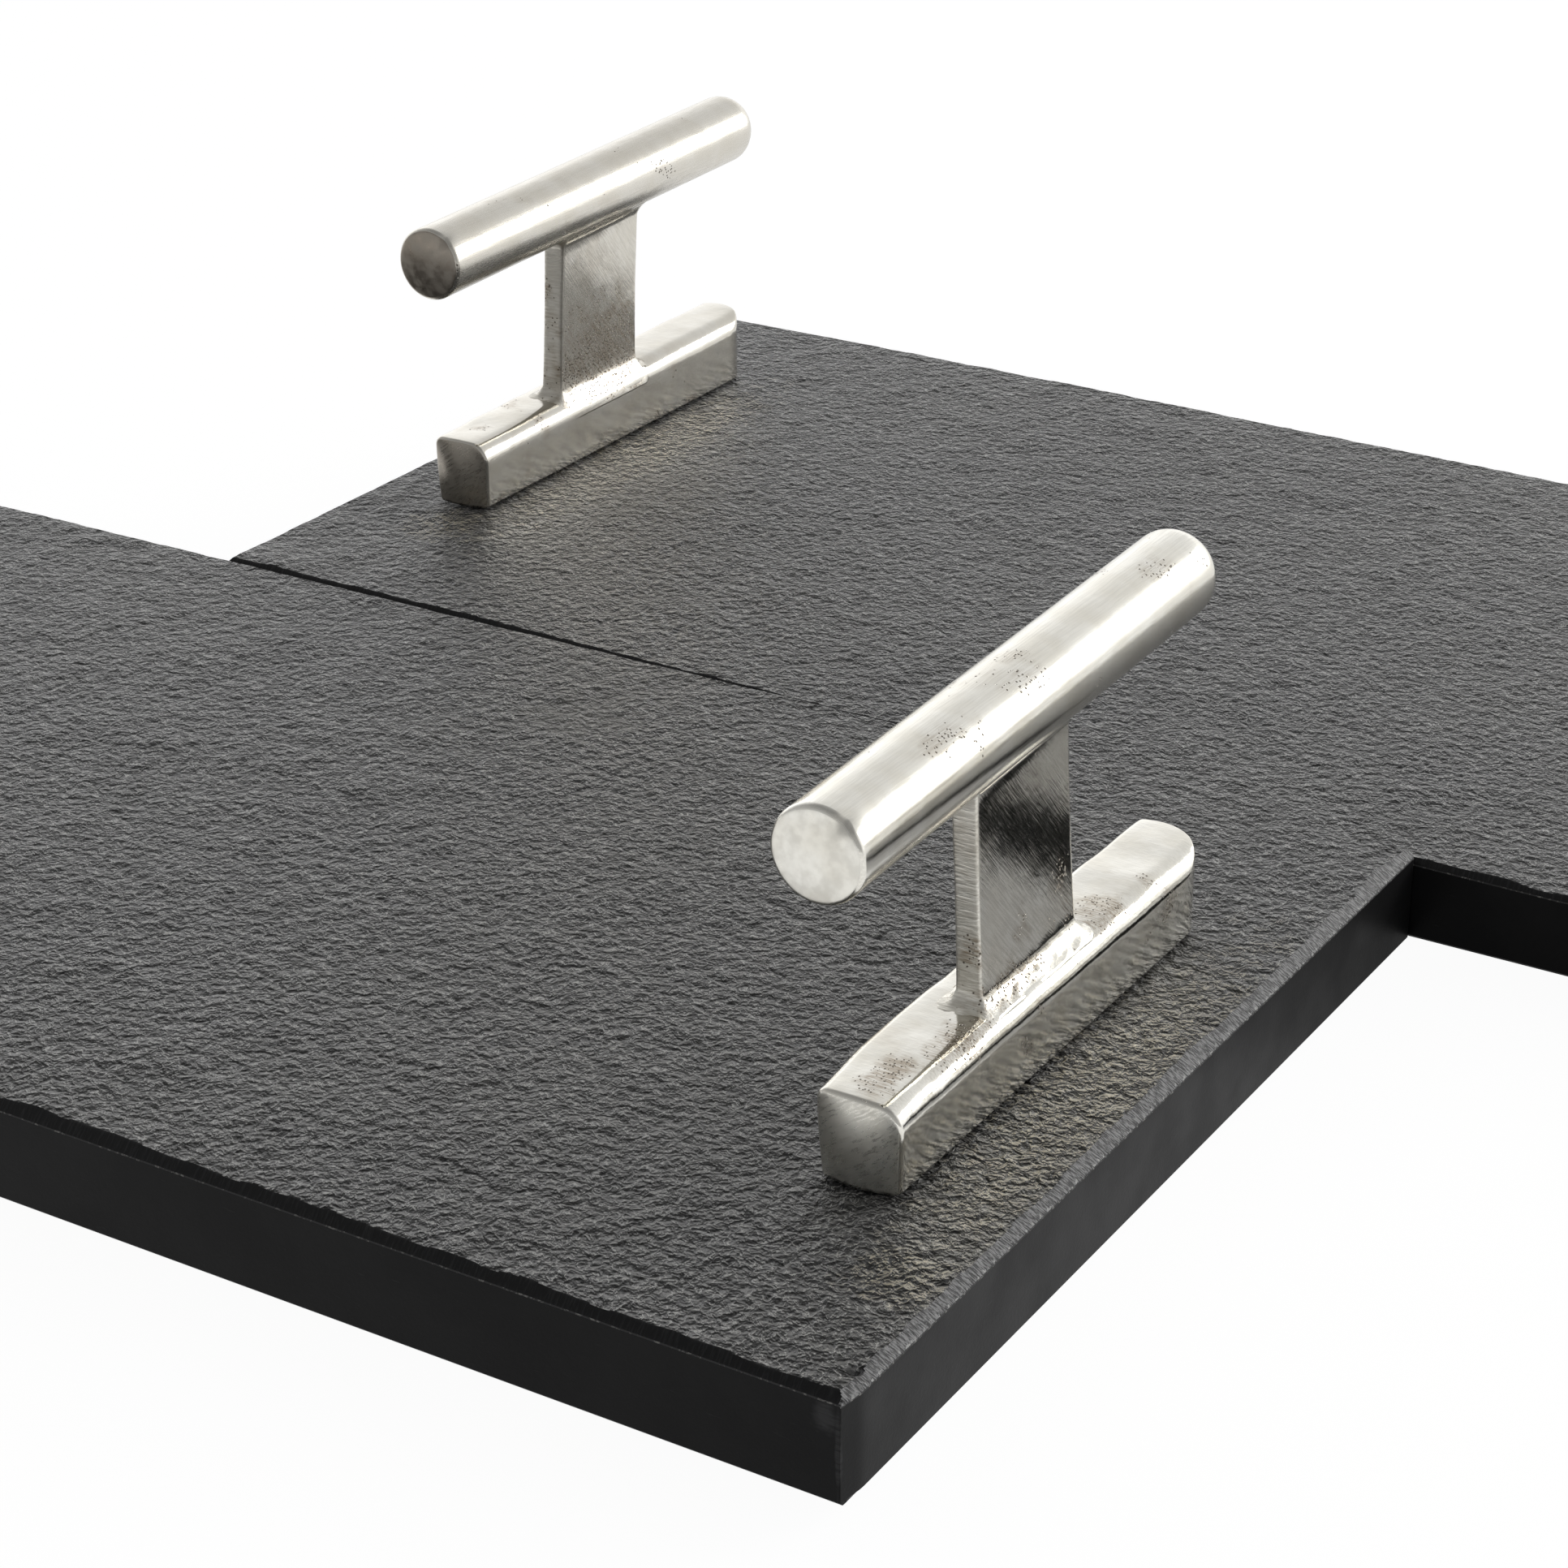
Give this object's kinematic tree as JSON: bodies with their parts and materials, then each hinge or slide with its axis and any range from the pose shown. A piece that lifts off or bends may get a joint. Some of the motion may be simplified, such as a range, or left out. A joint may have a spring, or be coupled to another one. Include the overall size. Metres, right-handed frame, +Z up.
{
  "type": "slate serving board",
  "caption": "Bevelled slate serving boards set side by side and offset, with upright polished metal bar handles at their ends.",
  "frame": {"origin": "on the table under the seam, in the middle of the pair's bounding box", "axes": "+X along the seam, to the right in the picture; +Y across it, from the front board to the rear one; +Z up"},
  "size_m": [0.6366, 0.406, 0.09],
  "materials": {
    "slate": "leathered split top face, honed edges",
    "nickel": "hand polished warm nickel with casting pits and brushed ends",
    "steel": "plain zinc-plated steel",
    "rubber": "matt black"
  },
  "bodies": {
    "root": {"front_slab": "slate", "rear_slab": "slate", "front_left_handle_base": "nickel", "front_left_handle_web": "nickel", "front_left_handle_bar": "nickel", "front_left_handle_screws": "steel", "front_left_handle_washers": "steel", "front_right_handle_base": "nickel", "front_right_handle_web": "nickel", "front_right_handle_bar": "nickel", "front_right_handle_screws": "steel", "front_right_handle_washers": "steel", "rear_left_handle_base": "nickel", "rear_left_handle_web": "nickel", "rear_left_handle_bar": "nickel", "rear_left_handle_screws": "steel", "rear_left_handle_washers": "steel", "rear_right_handle_base": "nickel", "rear_right_handle_web": "nickel", "rear_right_handle_bar": "nickel", "rear_right_handle_screws": "steel", "rear_right_handle_washers": "steel", "front_left_inner_foot": "rubber", "front_left_outer_foot": "rubber", "front_right_inner_foot": "rubber", "front_right_outer_foot": "rubber", "rear_left_inner_foot": "rubber", "rear_left_outer_foot": "rubber", "rear_right_inner_foot": "rubber", "rear_right_outer_foot": "rubber"}
  },
  "joints": []
}
